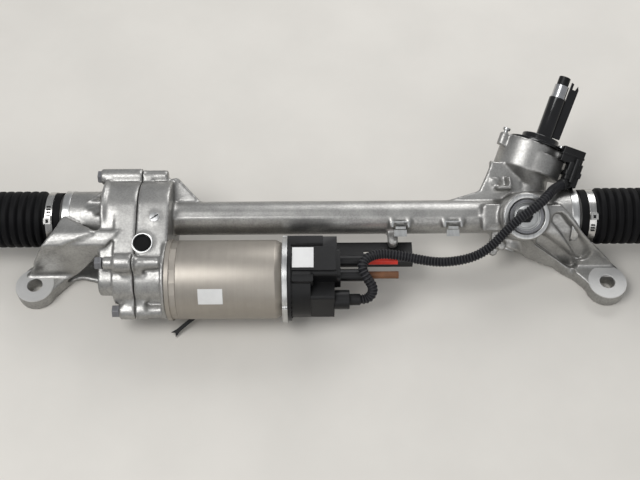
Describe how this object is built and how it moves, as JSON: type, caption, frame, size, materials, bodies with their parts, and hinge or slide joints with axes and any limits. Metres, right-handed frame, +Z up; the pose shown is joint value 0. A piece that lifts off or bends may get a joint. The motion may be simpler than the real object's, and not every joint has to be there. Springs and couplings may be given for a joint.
{
  "type": "steering rack",
  "caption": "Electric power steering rack with cast housing, side motor, belt and ball nut drive, pinion tower, bellows and tie rods.",
  "frame": {"origin": "midway between the two mounting bores, on the top faces of their pads", "axes": "+X along the rack towards the pinion end, +Y to the rear, +Z up out of the mounting bores"},
  "size_m": [1.3, 0.2858, 0.1419],
  "materials": {
    "cast_aluminium": "as cast, shot blasted, with mottled grain",
    "machined_aluminium": "turned and milled",
    "zinc_steel": "bluish zinc plate",
    "stainless": "rolled stainless strip",
    "bellows_rubber": "matte moulded rubber",
    "belt_rubber": "moulded rubber",
    "plain_plastic": "filled nylon",
    "bearing_steel": "ground",
    "motor_steel": "satin warm grey plate",
    "lamination_steel": "stacked lamination",
    "copper": "enamelled copper",
    "black_plastic": "moulded, fine texture",
    "gloss_black_plastic": "glossy moulding",
    "board_green": "circuit board",
    "red_insulation": "cable insulation",
    "brown_insulation": "cable insulation",
    "conduit_plastic": "corrugated split tube",
    "ground_steel": "ground",
    "dark_steel": "oiled forging"
  },
  "bodies": {
    "housing": {"bellows_left": "bellows_rubber", "bellows_right": "bellows_rubber", "cable_tray": "black_plastic", "cap_screws": "zinc_steel", "case_bolts": "zinc_steel", "circuit_board": "board_green", "drive_belt": "belt_rubber", "ecu_cover": "black_plastic", "ecu_ring": "machined_aluminium", "end_dampers": "bellows_rubber", "gear_cover": "cast_aluminium", "large_clamps": "stainless", "motor_bearings": "bearing_steel", "motor_can": "motor_steel", "motor_flange": "machined_aluminium", "nut_bearing": "bearing_steel", "pinion_bearings": "bearing_steel", "pinion_cap": "machined_aluminium", "plug_boot": "belt_rubber", "power_cable_brown": "brown_insulation", "power_cable_red": "red_insulation", "power_connector": "black_plastic", "rack_bush": "plain_plastic", "rack_housing": "cast_aluminium", "rack_yoke": "plain_plastic", "sensor_cap": "black_plastic", "sensor_conduit": "conduit_plastic", "sensor_connector": "black_plastic", "signal_plug": "black_plastic", "stator": "lamination_steel", "stator_windings": "copper", "torque_sensor": "plain_plastic", "yoke_lock_ring": "zinc_steel", "yoke_plug": "zinc_steel", "yoke_spring": "bearing_steel"},
    "rack": {"rack_bar": "ground_steel", "inner_joint_left": "dark_steel", "inner_joint_right": "dark_steel"},
    "tie_rod_left": {"tie_rod_left": "dark_steel", "lock_nut_left": "zinc_steel", "small_clamp_left": "stainless"},
    "tie_rod_right": {"tie_rod_right": "dark_steel", "lock_nut_right": "zinc_steel", "small_clamp_right": "stainless"},
    "pinion": {"pinion": "ground_steel", "torsion_bar": "ground_steel"},
    "input_shaft": {"input_shaft": "ground_steel", "sensor_rotor": "plain_plastic", "shaft_end_cap": "black_plastic", "shaft_guard": "gloss_black_plastic"},
    "ball_nut": {"ball_nut": "ground_steel", "nut_pulley": "machined_aluminium"},
    "rotor": {"rotor_shaft": "ground_steel", "rotor_magnets": "lamination_steel", "motor_pulley": "ground_steel"}
  },
  "joints": [
    {"name": "nut_turn", "type": "hinge", "parent": "housing", "child": "ball_nut", "pos_m": [-0.215, 0.07, 0.036], "axis": [1, 0, 0], "range_deg": [-3908, 3908]},
    {"name": "rack_slide", "type": "slide", "parent": "housing", "child": "rack", "axis": [1, 0, 0], "range_m": [-0.076, 0.076], "deforming": ["bellows_left", "bellows_right"]},
    {"name": "pinion_turn", "type": "hinge", "parent": "housing", "child": "pinion", "pos_m": [0.237, 0.08083, 0.02054], "axis": [0.342, 0.7698, 0.539], "range_deg": [-484, 484]},
    {"name": "rotor_turn", "type": "hinge", "parent": "housing", "child": "rotor", "pos_m": [-0.1, -0.0127, 0.031], "axis": [1, 0, 0], "range_deg": [-10349, 10349]},
    {"name": "input_twist", "type": "hinge", "parent": "pinion", "child": "input_shaft", "pos_m": [0.25752, 0.12701, 0.05288], "axis": [0.342, 0.7698, 0.539], "range_deg": [-4.5, 4.5], "stiffness_Nm_per_rad": 115},
    {"name": "tie_rod_left_swing", "type": "hinge", "parent": "rack", "child": "tie_rod_left", "pos_m": [-0.375, 0.07, 0.036], "axis": [0, 1, 0], "range_deg": [-20, 20]},
    {"name": "tie_rod_right_swing", "type": "hinge", "parent": "rack", "child": "tie_rod_right", "pos_m": [0.375, 0.07, 0.036], "axis": [0, 1, 0], "range_deg": [-20, 20]}
  ],
  "couplings": [
    {"joint": "rack_slide", "follows": "nut_turn", "m_per_rad": 0.0011141},
    {"joint": "pinion_turn", "follows": "nut_turn", "ratio": 0.12379},
    {"joint": "rotor_turn", "follows": "nut_turn", "ratio": 2.648}
  ]
}
